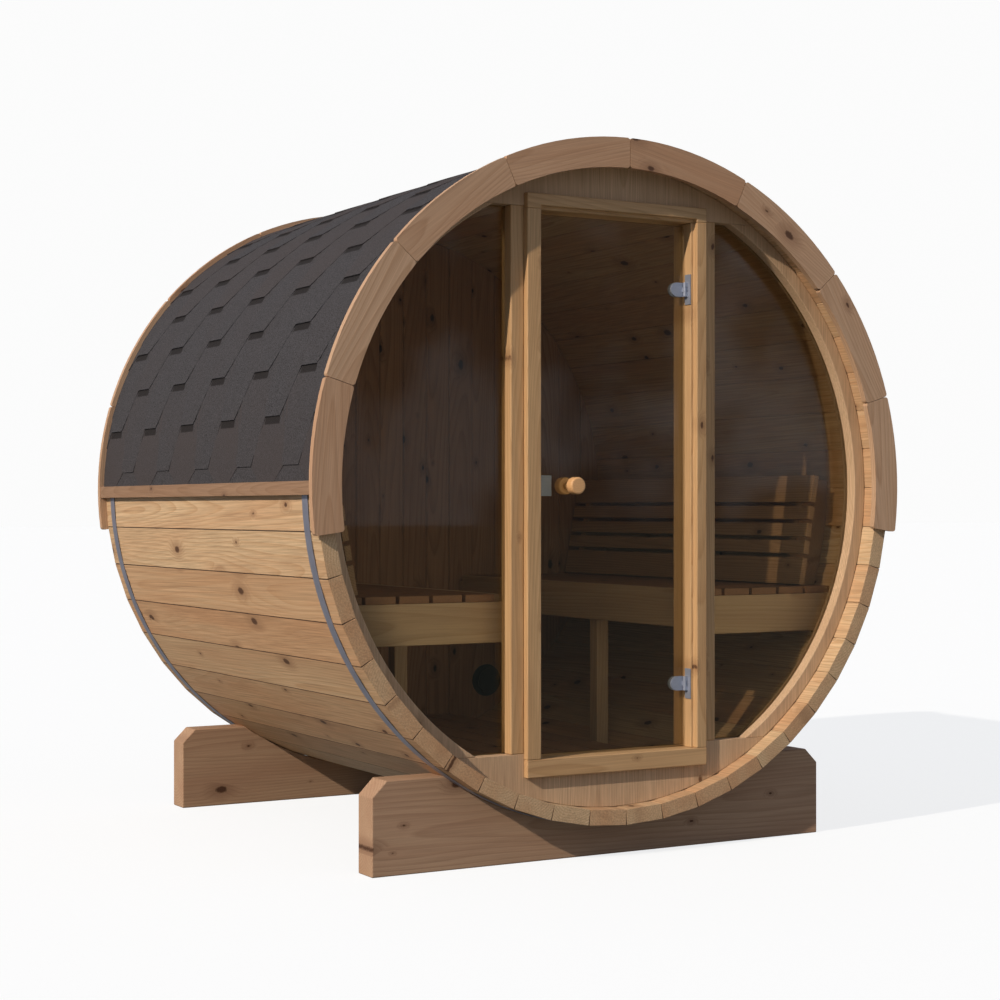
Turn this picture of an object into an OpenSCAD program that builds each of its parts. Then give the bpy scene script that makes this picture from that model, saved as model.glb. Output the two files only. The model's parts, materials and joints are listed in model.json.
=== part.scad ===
// Barrel sauna: a stave barrel lying on two cradles, with a glazed front wall,
// a glass door on two hinges, two benches with backrests and a shingled roof.
// X runs across the front, +Y to the rear, +Z up. The origin is on the ground
// under the middle of the barrel. Angles around the barrel start at the top
// and turn towards +X. Each piece touches or nearly touches what carries it.

/* [Barrel] */
// Outside diameter over the stave corners
barrel_d = 1970; // [1640:10:2400]
// Length of the staves
barrel_l = 1730; // [1400:10:3000]
// Thickness of a stave
stave_t = 46; // [30:1:60]
// Staves around the barrel, six to a segment
stave_count = 48; // [48:8:56]
// Depth of the groove between two staves
stave_groove = 3; // [1:0.5:6]
// Height of the underside of the barrel above the ground
ground_gap = 97; // [60:1:140]

/* [Cradles] */
// Width of a cradle across the barrel
cradle_w = 1550; // [1400:10:1700]
// Height of a cradle
cradle_h = 265; // [220:5:300]
// Thickness of a cradle along the barrel
cradle_t = 88; // [60:1:120]
// Chamfer on the upper corners of a cradle
cradle_chamfer = 44; // [10:1:60]

/* [Hoops] */
// Width of a steel hoop
hoop_w = 36; // [20:1:60]
// Thickness of a steel hoop
hoop_t = 1.8; // [1:0.1:3]
// Distance from the end of the staves to the hoop
hoop_inset = 54; // [40:1:90]
// Space between a hoop and the cradle beside it
hoop_cradle_gap = 2; // [1:1:20]

/* [Fascias] */
// Boards in one fascia ring
fascia_boards = 8; // [6:2:8]
// Angle that one fascia board covers
fascia_board_angle = 24.5; // [22:0.5:25]
// Width of a fascia board
fascia_w = 87; // [75:1:100]
// Thickness of a fascia board
fascia_t = 20; // [12:1:30]
// How far the fascia stands out past the staves
fascia_lip = 21; // [15:1:30]
// Gap between two fascia boards
fascia_gap = 1.5; // [1:0.5:4]
// Radius of the rounded board corners
fascia_corner_r = 9; // [3:1:15]

/* [Roof] */
// Thickness of the shingle covering
roof_t = 8; // [5:0.5:12]
// Height of the eave batten
batten_h = 38; // [25:1:60]
// Thickness of the eave batten
batten_t = 18; // [12:1:21]
// Height of the top of the eave batten above the middle of the barrel
batten_rise = 8; // [0:1:40]

/* [Front wall] */
// Distance from the front of the fascia to the front wall
wall_setback = 75; // [60:1:110]
// Thickness of the front wall
wall_t = 56; // [42:1:70]
// Width of the curved wood rim outside a window
window_rim_w = 40; // [25:1:80]
// Width of the post between a window and the door frame
post_w = 44; // [30:1:80]
// Drop from the top of the door frame to the top of the windows
window_head_drop = 36; // [20:1:80]
// Rise from the bottom of the door frame to the bottom of the windows
window_sill_rise = 68; // [54:1:120]
// Thickness of the window glass
window_glass_t = 8; // [6:1:12]
// Distance from the front of the wall to the window glass
window_glass_setback = 37; // [15:1:38]
// How deep the window glass sits in its groove
window_groove = 8; // [5:1:12]

/* [Door frame] */
// Width of the door frame over its jambs
door_frame_w = 624; // [500:2:760]
// Space between a corner of the door frame and the staves
door_corner_gap = 47; // [40:1:150]
// Depth of the door frame along the barrel
door_frame_d = 110; // [90:1:140]
// How far the door frame stands out in front of the wall
door_frame_proud = 19; // [5:1:30]
// Width of a jamb
jamb_w = 46; // [40:1:70]
// Height of the head of the door frame
head_h = 44; // [40:1:70]
// Height of the sill of the door frame
sill_h = 52; // [40:1:70]
// Width of the rebate along the front of the head and the hinge jamb
rebate_w = 10; // [4:1:14]
// Depth of the rebate
rebate_d = 18; // [10:1:25]

/* [Door] */
// Thickness of the door glass
door_glass_t = 8; // [6:1:10]
// Distance from the front of the door frame to the door glass
door_glass_setback = 49; // [45:1:55]
// Gap between the door glass and the frame
door_gap = 8; // [6:0.5:12]
// Distance from the top and bottom of the door frame to the middle of a hinge
hinge_inset = 243; // [160:1:400]
// Distance from the latch edge of the door glass to the middle of the knob
knob_inset = 120; // [110:1:160]
// Diameter of the knob
knob_d = 50; // [35:1:70]
// Length of the knob out from the glass
knob_l = 45; // [35:1:48]

/* [Hinges and catch] */
// Radius of the hinge pin
pin_r = 3; // [2.5:0.1:4]
// Radial running clearance of the hinge pin
pin_clear = 0.1; // [0.05:0.01:0.1]
// Radius of a hinge knuckle
knuckle_r = 6; // [5:0.5:6.5]
// Height of the middle hinge knuckle
knuckle_h = 14; // [10:1:20]
// Width of the glass clamp
clamp_w = 46; // [35:1:60]
// Height of the glass clamp
clamp_h = 42; // [36:1:60]
// Thickness of a clamp plate
clamp_t = 6; // [4:0.5:6]
// Height of the hinge plate on the jamb
hinge_plate_h = 90; // [60:1:110]
// Width of the hinge plate on the jamb
hinge_plate_w = 27; // [24:1:38]
// Thickness of the hinge and catch plates
plate_t = 3; // [2:0.5:3.5]
// How far the catch plate reaches in from the latch jamb
catch_reach = 71; // [40:1:90]
// Height of the catch plate
catch_h = 60; // [40:1:80]
// Gap between the closed door and the catch plate
catch_gap = 5; // [5:0.5:8]

/* [Rear wall] */
// Distance from the rear of the fascia to the rear wall
rear_setback = 95; // [60:1:120]
// Thickness of the rear wall
rear_wall_t = 42; // [30:1:60]
// Diameter of the vent hole
vent_d = 100; // [80:1:120]
// Width of the flange around the vent
vent_flange = 9; // [5:1:15]
// Distance from the middle of the vent to the edge of the rear wall
vent_inset = 106; // [90:1:300]
// Angle of the vent to the right of straight down
vent_angle = 32; // [25:1:40]
// Space between the rear wall and the valve disc of the vent
vent_disc_gap = 20; // [10:1:30]

/* [Benches] */
// How far a bench stands back from the edge of the door frame
bench_clear = 13; // [10:1:80]
// Height of the seat above the floor
seat_h = 508; // [430:1:560]
// Thickness of a seat board
seat_board_t = 22; // [18:1:30]
// Boards in one seat
seat_boards = 5; // [4:1:6]
// Gap between two seat boards
seat_gap = 10; // [5:1:20]
// Height of the apron and of the end boards
apron_h = 118; // [80:1:140]
// Thickness of the apron and of the end boards
apron_t = 26; // [20:1:35]
// Distance from the front wall to the front end of a bench
bench_setback = 39; // [36:1:80]
// Side of the square leg
leg_side = 45; // [35:1:60]
// Distance of the leg in front of the middle of the barrel
leg_forward = 135; // [0:5:400]

/* [Backrests] */
// Distance from the outer edge of the seat to the foot of a backrest
backrest_inset = 98; // [80:1:130]
// Angle that a backrest leans back
backrest_lean = 10; // [4:0.5:14]
// Height of the top and bottom slats
slat_wide = 86; // [60:1:100]
// Height of the three middle slats
slat_narrow = 43; // [30:1:50]
// Thickness of a slat
slat_t = 20; // [15:1:26]
// Gap between two slats
slat_gap = 13; // [8:1:18]
// Space between the seat and the lowest slat
backrest_lift = 5; // [2:1:30]
// Thickness of a backrest bracket
bracket_t = 28; // [20:1:40]

/* [Floor] */
// Step down from the door sill to the floor
floor_step = 39; // [10:1:45]
// Boards in the floor
floor_boards = 5; // [4:1:6]
// Gap between two floor boards
floor_gap = 8; // [5:1:15]
// Thickness of a floor board
floor_board_t = 22; // [18:1:28]
// Space between the floor and what stands beside it
floor_margin = 45; // [20:1:60]
// Thickness of a floor bearer
bearer_t = 45; // [30:1:60]

/* [Hidden] */
$fn = 96;

seat_fit = 0.3;            // play of a piece that seats against a curved or grooved one
over = 1;                  // how far a cutting shape reaches past what it cuts
far = 3 * barrel_d;        // half the size of a cutting half plane

segments = 8;
staves_per_segment = stave_count / segments;
stave_angle = 360 / stave_count;
center_z = ground_gap + barrel_d / 2;
stave_r = barrel_d / 2;
stave_apothem = stave_r * cos(stave_angle / 2);
inner_apothem = stave_apothem - stave_t;
inner_corner_r = inner_apothem / cos(stave_angle / 2);
fit_r = inner_apothem - seat_fit;      // radius of what fits inside the barrel
skin_r = stave_r + seat_fit / 3;       // radius of what lies on the barrel
half_l = barrel_l / 2;

fascia_outer_r = stave_r + fascia_lip;
fascia_inner_r = fascia_outer_r - fascia_w;
front_y = -half_l - fascia_t;
rear_y = half_l + fascia_t;

hoop_y = half_l - hoop_inset - hoop_w;             // inner edge of a hoop
hoop_r = skin_r + hoop_t;
cradle_y = hoop_y - hoop_cradle_gap - cradle_t;    // inner face of a cradle

wall_front = front_y + wall_setback;
wall_back = wall_front + wall_t;
frame_front = wall_front - door_frame_proud;
frame_back = frame_front + door_frame_d;
frame_half_w = door_frame_w / 2;
frame_top = round(sqrt(pow(fit_r - door_corner_gap, 2) - pow(frame_half_w, 2)));
frame_bottom = -frame_top;
opening_half_w = frame_half_w - jamb_w;
opening_top = frame_top - head_h;
opening_bottom = frame_bottom + sill_h;
window_r = fit_r - window_rim_w;
window_top = frame_top - window_head_drop;
window_bottom = frame_bottom + window_sill_rise;
post_edge = frame_half_w + post_w;
window_glass_y = wall_front + window_glass_setback;

glass_front = frame_front + door_glass_setback;
glass_back = glass_front + door_glass_t;
glass_half_w = opening_half_w - door_gap;
clamp_front = glass_front - clamp_t;
pin_y = clamp_front - knuckle_r - 1;
pin_x = opening_half_w - plate_t - knuckle_r;
knuckle_play = 0.5;
clamp_x = glass_half_w - clamp_w;
hinge_rise = frame_top - hinge_inset;
knob_x = glass_half_w - knob_inset;
stud_r = 6;
stud_play = 0.2;

rear_wall_back = rear_y - rear_setback;
rear_wall_front = rear_wall_back - rear_wall_t;
vent_x = (fit_r - vent_inset) * sin(vent_angle);
vent_drop = (fit_r - vent_inset) * cos(vent_angle);

floor_z = opening_bottom - floor_step;
seat_z = floor_z + seat_h;
aisle_half = frame_half_w + bench_clear;
seat_under = seat_z - seat_board_t;
bench_front = wall_back + bench_setback;
bench_back = rear_wall_front - seat_fit;
seat_in = aisle_half + apron_t + 4;                      // aisle edge of the first seat board
seat_out = sqrt(pow(fit_r, 2) - pow(seat_under, 2)) - 2; // outer edge of the last seat board
seat_board_w = (seat_out - seat_in - (seat_boards - 1) * seat_gap) / seat_boards;

backrest_x = seat_out - backrest_inset;
slats = [slat_wide, slat_narrow, slat_narrow, slat_narrow, slat_wide];
backrest_front = bench_front + 30;
backrest_back = bench_back - 15;
backrest_h = 2 * slat_wide + 3 * slat_narrow + 4 * slat_gap;

floor_half_w = aisle_half - floor_margin;
floor_front = frame_back + 3;
floor_board_w = (2 * floor_half_w - (floor_boards - 1) * floor_gap) / floor_boards;
bearer_margin = 120;       // from an end of the floor to the nearest bearer

wood_sunlit = "#C29B6B";
wood_fascia = "#9C7A5B";
wood_cradle = "#8A6D54";
wood_frame = "#A88A63";
wood_inside = "#7A5C42";
shingle_grey = "#464549";
steel_dark = "#5A6070";
steel_light = "#B4BAC0";
glass_smoke = [0.35, 0.30, 0.25, 0.5];

// ---- helpers ----

function polar(r, a) = [r * sin(a), r * cos(a)];

// A point on a stave's flat face: r from the axis, t along the face
function on_flat(r, t, a) = [r * sin(a) + t * cos(a), r * cos(a) - t * sin(a)];

// Draws an outline of the front view between two places along the barrel
module along_y(y0, y1) {
    translate([0, y1, center_z]) rotate([90, 0, 0]) linear_extrude(y1 - y0) children();
}

module ring(r_out, r_in) {
    difference() {
        circle(r_out, $fn = 180);
        circle(r_in, $fn = 180);
    }
}

// Everything between two angles around the barrel, less than a half turn apart
module wedge(a0, a1) {
    polygon([[0, 0], polar(far, a0), polar(far, (a0 + a1) / 2), polar(far, a1)]);
}

module box(x0, x1, z0, z1) {
    translate([x0, z0]) square([x1 - x0, z1 - z0]);
}

// Draws children as they are, or mirrored to the left side of the barrel
module on_side(side) {
    if (side < 0) mirror([1, 0, 0]) children();
    else children();
}

// ---- cradles ----

module cradle(y0) {
    top = cradle_h - center_z;
    bottom = -center_z;
    half = cradle_w / 2;
    color(wood_cradle) along_y(y0, y0 + cradle_t) difference() {
        polygon([
            [-half, bottom], [half, bottom], [half, top - cradle_chamfer],
            [half - cradle_chamfer, top], [-half + cradle_chamfer, top],
            [-half, top - cradle_chamfer]
        ]);
        circle(stave_r + seat_fit, $fn = 180);
    }
}

// ---- staves ----

// One segment of the barrel, its middle at angle a
module stave_segment(a) {
    first = a - staves_per_segment * stave_angle / 2;
    outer_half = stave_apothem * tan(stave_angle / 2) - stave_groove;
    inner_half = inner_apothem * tan(stave_angle / 2) - stave_groove;
    last = staves_per_segment - 1;
    outer = [for (i = [0 : last]) let (m = first + (i + 0.5) * stave_angle) each [
        polar(stave_r - stave_groove, first + i * stave_angle),
        on_flat(stave_apothem, -outer_half, m),
        on_flat(stave_apothem, outer_half, m)
    ]];
    inner = [for (i = [last : -1 : 0]) let (m = first + (i + 0.5) * stave_angle) each [
        polar(inner_corner_r + stave_groove, first + (i + 1) * stave_angle),
        on_flat(inner_apothem, inner_half, m),
        on_flat(inner_apothem, -inner_half, m)
    ]];
    end_a = first + staves_per_segment * stave_angle;
    color(wood_sunlit) along_y(-half_l, half_l) polygon(concat(
        outer, [polar(stave_r - stave_groove, end_a)],
        inner, [polar(inner_corner_r + stave_groove, first)]
    ));
}

// ---- hoops ----

module hoop(y0) {
    color(steel_dark) along_y(y0, y0 + hoop_w) ring(hoop_r, skin_r);
}

// The space that both hoops need under the roof and the battens
module hoop_channels() {
    for (y0 = [-hoop_y - hoop_w, hoop_y])
        along_y(y0 - seat_fit, y0 + hoop_w + seat_fit) ring(hoop_r + seat_fit, skin_r - over);
}

// ---- fascias ----

// Waste at one corner of a board that starts at the angle where x is radial
module corner_waste(r, way) {
    c = fascia_corner_r;
    difference() {
        translate([r - (way > 0 ? c : over), -over]) square([c + over, c + over]);
        translate([r - way * c, c]) circle(c, $fn = 48);
    }
}

module fascia_board(a) {
    half = fascia_board_angle / 2;
    gap_angle = fascia_gap / 2 / fascia_inner_r * 180 / PI;
    difference() {
        intersection() {
            ring(fascia_outer_r, fascia_inner_r);
            wedge(a - half + gap_angle, a + half - gap_angle);
        }
        for (s = [-1, 1]) rotate(90 - a) mirror([0, s < 0 ? 1 : 0]) rotate(-half + gap_angle) {
            corner_waste(fascia_outer_r, 1);
            corner_waste(fascia_inner_r, -1);
        }
    }
}

module fascia(y0) {
    color(wood_fascia) along_y(y0, y0 + fascia_t)
        for (i = [0 : fascia_boards - 1])
            fascia_board((i - (fascia_boards - 1) / 2) * fascia_board_angle);
}

// ---- roof ----

module roof(side) {
    color(shingle_grey) difference() {
        along_y(-half_l, half_l) intersection() {
            ring(skin_r + roof_t, skin_r);
            if (side > 0) box(0, far, batten_rise, far);
            else box(-far, 0, batten_rise, far);
        }
        hoop_channels();
    }
}

module eave_batten(side) {
    color(wood_fascia) difference() {
        along_y(-half_l, half_l) on_side(side) difference() {
            box(stave_r - 5, skin_r + batten_t, batten_rise - batten_h, batten_rise);
            circle(skin_r, $fn = 180);
        }
        hoop_channels();
    }
}

// ---- front wall ----

// Outline of a window, grown by a margin on every edge
module window_outline(margin) {
    intersection() {
        circle(window_r + margin, $fn = 180);
        box(post_edge - margin, far, window_bottom - margin, window_top + margin);
    }
}

// The grooves that hold the glass of both windows
module window_grooves() {
    y0 = window_glass_y - seat_fit;
    y1 = window_glass_y + window_glass_t + seat_fit;
    for (side = [-1, 1]) along_y(y0, y1) on_side(side) window_outline(window_groove);
}

module front_wall_piece() {
    color(wood_frame) difference() {
        along_y(wall_front, wall_back) intersection() {
            circle(fit_r, $fn = 180);
            children();
        }
        window_grooves();
    }
}

module front_wall_head() {
    front_wall_piece() difference() {
        box(-far, far, window_top, far);
        box(-frame_half_w, frame_half_w, 0, frame_top);
    }
}

module front_wall_base() {
    front_wall_piece() difference() {
        box(-far, far, -far, window_bottom);
        box(-frame_half_w, frame_half_w, frame_bottom, 0);
    }
}

module front_wall_side(side) {
    front_wall_piece() on_side(side) difference() {
        box(post_edge, far, window_bottom, window_top);
        circle(window_r, $fn = 180);
    }
}

module front_post(side) {
    front_wall_piece() on_side(side)
        box(frame_half_w, post_edge, window_bottom, window_top);
}

module window(side) {
    color(glass_smoke) along_y(window_glass_y, window_glass_y + window_glass_t)
        on_side(side) window_outline(window_groove - seat_fit);
}

// ---- door frame ----

module door_frame_piece(x0, x1, z0, z1) {
    color(wood_frame) along_y(frame_front, frame_back) box(x0, x1, z0, z1);
}

// Waste of the rebate that runs down the hinge side and along the head
module rebate_waste() {
    color(wood_frame) along_y(frame_front - over, frame_front + rebate_d)
        box(-opening_half_w, opening_half_w + rebate_w, opening_bottom, opening_top + rebate_w);
}

module door_jamb(side) {
    difference() {
        on_side(side) door_frame_piece(opening_half_w, frame_half_w, opening_bottom, opening_top);
        rebate_waste();
    }
}

module door_head() {
    difference() {
        door_frame_piece(-frame_half_w, frame_half_w, opening_top, frame_top);
        rebate_waste();
    }
}

module door_sill() {
    door_frame_piece(-frame_half_w, frame_half_w, frame_bottom, opening_bottom);
}

// ---- door ----

module door_glass() {
    color(glass_smoke) along_y(glass_front, glass_back) difference() {
        box(-glass_half_w, glass_half_w, opening_bottom + door_gap, opening_top - door_gap);
        translate([-knob_x, 0]) circle(stud_r + stud_play);
    }
}

// Half section of one knob: x from its axis, y from the glass
module knob_section() {
    edge = 6;
    r = knob_d / 2;
    base = knob_l * 0.3;
    square([r * 0.5, base + edge]);
    translate([0, base]) square([r - edge, knob_l - base]);
    translate([0, base + edge]) square([r, knob_l - base - 2 * edge]);
    for (y = [base + edge, knob_l - edge]) translate([r - edge, y]) circle(edge, $fn = 48);
}

module door_knob() {
    color(wood_sunlit) translate([-knob_x, 0, center_z]) {
        translate([0, glass_front, 0]) rotate([90, 0, 0]) rotate_extrude() knob_section();
        translate([0, glass_back, 0]) rotate([-90, 0, 0]) rotate_extrude() knob_section();
        translate([0, glass_front - over, 0]) rotate([-90, 0, 0])
            cylinder(h = door_glass_t + 2 * over, r = stud_r);
    }
}

// Puts children at the height of both hinges
module at_hinges() {
    for (z = [-hinge_rise, hinge_rise]) translate([0, 0, center_z + z]) children();
}

module slab(x0, x1, y0, y1, h) {
    translate([x0, y0, -h / 2]) cube([x1 - x0, y1 - y0, h]);
}

// A clamp plate with a round free end
module clamp_plate(y0, y1) {
    r = clamp_h / 2;
    slab(clamp_x + r, glass_half_w, y0, y1, clamp_h);
    translate([clamp_x + r, y1, 0]) rotate([90, 0, 0]) cylinder(h = y1 - y0, r = r);
}

module door_hinge_clamps() {
    color(steel_light) at_hinges() {
        difference() {
            union() {
                clamp_plate(clamp_front, glass_front);
                slab(pin_x - knuckle_r, glass_half_w, pin_y, glass_front, knuckle_h);
                translate([pin_x, pin_y, 0]) cylinder(h = knuckle_h, r = knuckle_r, center = true);
            }
            translate([pin_x, pin_y, 0])
                cylinder(h = knuckle_h + over, r = pin_r + pin_clear, center = true);
        }
        clamp_plate(glass_back, glass_back + clamp_t);
    }
}

module door_hinge_plates() {
    plate_x = opening_half_w - plate_t;
    plate_y = pin_y + knuckle_r + 3;
    color(steel_light) at_hinges() {
        slab(plate_x, opening_half_w, plate_y - hinge_plate_w, plate_y, hinge_plate_h);
        translate([pin_x, pin_y, 0]) cylinder(h = clamp_h, r = pin_r, center = true);
        difference() {
            union() {
                translate([pin_x, pin_y, 0]) cylinder(h = clamp_h, r = knuckle_r, center = true);
                slab(pin_x, plate_x + over, pin_y - knuckle_r, pin_y + knuckle_r, clamp_h);
            }
            translate([pin_x - knuckle_r - over, pin_y - knuckle_r - over, -knuckle_h / 2 - knuckle_play])
                cube([2 * knuckle_r + over, 2 * (knuckle_r + over), knuckle_h + 2 * knuckle_play]);
        }
    }
}

module door_catch() {
    y0 = glass_back + catch_gap;
    color(steel_light) translate([0, 0, center_z]) {
        slab(-opening_half_w, -opening_half_w + catch_reach, y0, y0 + plate_t, catch_h);
        slab(-opening_half_w, -opening_half_w + plate_t, y0, frame_back - 5, catch_h);
    }
}

// ---- rear wall ----

module rear_wall() {
    color(wood_inside) along_y(rear_wall_front, rear_wall_back) difference() {
        circle(fit_r, $fn = 180);
        translate([vent_x, -vent_drop]) circle(vent_d / 2);
    }
}

module rear_vent() {
    r = vent_d / 2 - seat_fit;
    bar = 4;
    bars = 6;
    pitch = 2 * r / bars;
    disc_y = rear_wall_front - vent_disc_gap;
    color(shingle_grey) {
        along_y(disc_y - 2 * plate_t, disc_y) translate([vent_x, -vent_drop]) circle(r - bar);
        along_y(disc_y - over, rear_wall_back - over) translate([vent_x, -vent_drop]) circle(6, $fn = 48);
        along_y(rear_wall_front - plate_t, rear_wall_front) vent_ring(r + vent_flange, r - bar);
        along_y(rear_wall_back, rear_wall_back + plate_t) vent_ring(r + vent_flange, r - bar);
        along_y(rear_wall_front - plate_t, rear_wall_back + plate_t) vent_ring(r, r - bar);
        along_y(rear_wall_back - bar, rear_wall_back) translate([vent_x, -vent_drop]) intersection() {
            circle(r);
            for (i = [1 : bars - 1]) box(-r, r, -r + i * pitch - bar, -r + i * pitch + bar);
        }
    }
}

module vent_ring(r_out, r_in) {
    translate([vent_x, -vent_drop]) difference() {
        circle(r_out);
        circle(r_in);
    }
}

// ---- benches ----

module bench_seat(side) {
    color(wood_inside) along_y(bench_front, bench_back) on_side(side)
        for (i = [0 : seat_boards - 1]) {
            x = seat_in + i * (seat_board_w + seat_gap);
            box(x, x + seat_board_w, seat_under, seat_z);
        }
}

// The end boards under the front and rear ends of a seat
module bench_frame(side) {
    for (y0 = [bench_front, bench_back - apron_t])
        color(wood_inside) along_y(y0, y0 + apron_t) on_side(side) intersection() {
            circle(fit_r, $fn = 180);
            box(aisle_half, far, seat_under - apron_h, seat_under);
        }
}

module bench_apron(side) {
    color(wood_inside) along_y(bench_front + apron_t, bench_back - apron_t) on_side(side)
        box(aisle_half, aisle_half + apron_t, seat_z - apron_h, seat_z);
}

module bench_leg(side) {
    x0 = aisle_half + apron_t;
    color(wood_inside) along_y(-leg_forward - leg_side / 2, -leg_forward + leg_side / 2)
        on_side(side) intersection() {
            circle(fit_r, $fn = 180);
            box(x0, x0 + leg_side, -far, seat_under);
        }
}

// ---- backrests ----

function slat_low(i) = i == 0 ? 0 : slat_low(i - 1) + slats[i - 1] + slat_gap;

// Puts children on the leaning face of a backrest: y runs up the face
module on_lean() {
    translate([backrest_x, seat_z + backrest_lift]) rotate(-backrest_lean) children();
}

module backrest(side) {
    span = backrest_back - backrest_front;
    color(wood_inside) {
        along_y(backrest_front, backrest_back) on_side(side) on_lean()
            for (i = [0 : len(slats) - 1]) box(0, slat_t, slat_low(i), slat_low(i) + slats[i]);
        for (i = [0 : 2]) {
            y0 = backrest_front + 60 + i * (span - 120 - bracket_t) / 2;
            along_y(y0, y0 + bracket_t) on_side(side) intersection() {
                circle(fit_r, $fn = 180);
                box(0, far, seat_z + seat_fit, far);
                on_lean() box(slat_t / 2, far, -backrest_lift * 2, backrest_h);
            }
        }
    }
}

// ---- floor ----

module floor_duckboard() {
    color(wood_inside) {
        along_y(floor_front, rear_wall_front - seat_fit)
            for (i = [0 : floor_boards - 1]) {
                x = -floor_half_w + i * (floor_board_w + floor_gap);
                box(x, x + floor_board_w, floor_z - floor_board_t, floor_z);
            }
        for (i = [0 : 2]) {
            run = rear_wall_front - floor_front - 2 * bearer_margin - bearer_t;
            y0 = floor_front + bearer_margin + i * run / 2;
            along_y(y0, y0 + bearer_t) intersection() {
                circle(fit_r, $fn = 180);
                box(-floor_half_w, floor_half_w, -far, floor_z - floor_board_t / 2);
            }
        }
    }
}

// ---- the pieces ----

cradle(-cradle_y - cradle_t);  // cradle_front
cradle(cradle_y);  // cradle_rear
stave_segment(0);  // staves_top
stave_segment(45);  // staves_top_right
stave_segment(90);  // staves_right
stave_segment(135);  // staves_bottom_right
stave_segment(180);  // staves_bottom
stave_segment(225);  // staves_bottom_left
stave_segment(270);  // staves_left
stave_segment(315);  // staves_top_left
hoop(-hoop_y - hoop_w);  // hoop_front
hoop(hoop_y);  // hoop_rear
fascia(front_y);  // fascia_front
fascia(half_l);  // fascia_rear
roof(-1);  // roof_left
roof(1);  // roof_right
eave_batten(-1);  // eave_batten_left
eave_batten(1);  // eave_batten_right
front_wall_head();
front_wall_base();
front_wall_side(-1);  // front_wall_left
front_wall_side(1);  // front_wall_right
front_post(-1);  // front_post_left
front_post(1);  // front_post_right
window(-1);  // window_left
window(1);  // window_right
door_jamb(-1);  // door_jamb_latch
door_jamb(1);  // door_jamb_hinge
door_head();
door_sill();
door_glass();
door_knob();
door_hinge_clamps();
door_hinge_plates();
door_catch();
rear_wall();
rear_vent();
bench_seat(-1);  // bench_left_seat
bench_frame(-1);  // bench_left_frame
bench_apron(-1);  // bench_left_apron
bench_leg(-1);  // bench_left_leg
bench_seat(1);  // bench_right_seat
bench_frame(1);  // bench_right_frame
bench_apron(1);  // bench_right_apron
bench_leg(1);  // bench_right_leg
backrest(-1);  // backrest_left
backrest(1);  // backrest_right
floor_duckboard();
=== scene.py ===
import json
import math
import random
import bpy
from mathutils import Matrix, Vector


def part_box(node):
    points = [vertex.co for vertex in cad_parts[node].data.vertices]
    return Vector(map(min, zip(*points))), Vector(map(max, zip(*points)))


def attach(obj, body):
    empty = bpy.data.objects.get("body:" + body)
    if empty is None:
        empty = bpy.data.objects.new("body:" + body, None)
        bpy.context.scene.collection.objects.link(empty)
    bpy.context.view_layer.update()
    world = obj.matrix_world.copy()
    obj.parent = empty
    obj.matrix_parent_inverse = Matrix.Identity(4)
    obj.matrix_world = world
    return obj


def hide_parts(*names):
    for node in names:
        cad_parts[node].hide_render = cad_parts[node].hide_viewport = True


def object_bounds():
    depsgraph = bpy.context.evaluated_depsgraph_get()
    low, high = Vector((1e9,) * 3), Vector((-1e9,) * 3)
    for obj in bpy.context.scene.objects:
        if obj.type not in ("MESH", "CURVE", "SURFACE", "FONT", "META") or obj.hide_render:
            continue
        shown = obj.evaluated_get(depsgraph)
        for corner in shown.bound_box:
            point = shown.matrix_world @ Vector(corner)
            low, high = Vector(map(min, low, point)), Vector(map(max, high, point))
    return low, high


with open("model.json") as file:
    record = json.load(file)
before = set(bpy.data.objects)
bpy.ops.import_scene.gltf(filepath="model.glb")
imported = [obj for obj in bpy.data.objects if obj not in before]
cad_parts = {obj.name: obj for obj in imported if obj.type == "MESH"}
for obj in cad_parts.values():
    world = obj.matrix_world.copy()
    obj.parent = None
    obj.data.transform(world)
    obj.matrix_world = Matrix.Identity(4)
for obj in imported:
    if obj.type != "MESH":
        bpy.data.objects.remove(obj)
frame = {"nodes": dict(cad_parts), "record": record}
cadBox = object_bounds()
nodes = frame["nodes"]
bodyOf = {n: b for b, group in frame["record"]["behaviour"]["bodies"].items() for n in group}
hoopLow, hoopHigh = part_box("hoop_front")
axisHeight = (hoopLow.z + hoopHigh.z) / 2      # the middle of the barrel
print("frame loaded")

# camera one metre above the ground, in front and to the left
view = {"place": (-3.150, -5.6306, 1.0158), "turn": -29.78, "lens": 70.74, "sensor": 36, "shift": 0.0086}
camera = bpy.data.objects.new("camera", bpy.data.cameras.new("camera"))
bpy.context.scene.collection.objects.link(camera)
camera.location = view["place"]
camera.rotation_euler = (math.radians(90), 0, math.radians(view["turn"]))
camera.data.lens = view["lens"]
camera.data.sensor_width = view["sensor"]
camera.data.shift_y = view["shift"]
bpy.context.scene.camera = camera


def hexColour(text):
    def linear(value):
        return value / 12.92 if value <= 0.04045 else ((value + 0.055) / 1.055) ** 2.4
    return [linear(int(text[i:i + 2], 16) / 255) for i in (1, 3, 5)] + [1.0]


# adds a node with its settings and its links or values
def addNode(tree, kind, inputs=None, **settings):
    node = tree.nodes.new("ShaderNode" + kind)
    for name, value in settings.items():
        setattr(node, name, value)
    for socket, value in (inputs or {}).items():
        if isinstance(value, bpy.types.NodeSocket):
            tree.links.new(value, node.inputs[socket])
        else:
            node.inputs[socket].default_value = value
    return node


def newMaterial(name):
    material = bpy.data.materials.new(name)
    material.use_nodes = True
    tree = material.node_tree
    return material, tree, tree.nodes["Principled BSDF"]


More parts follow.
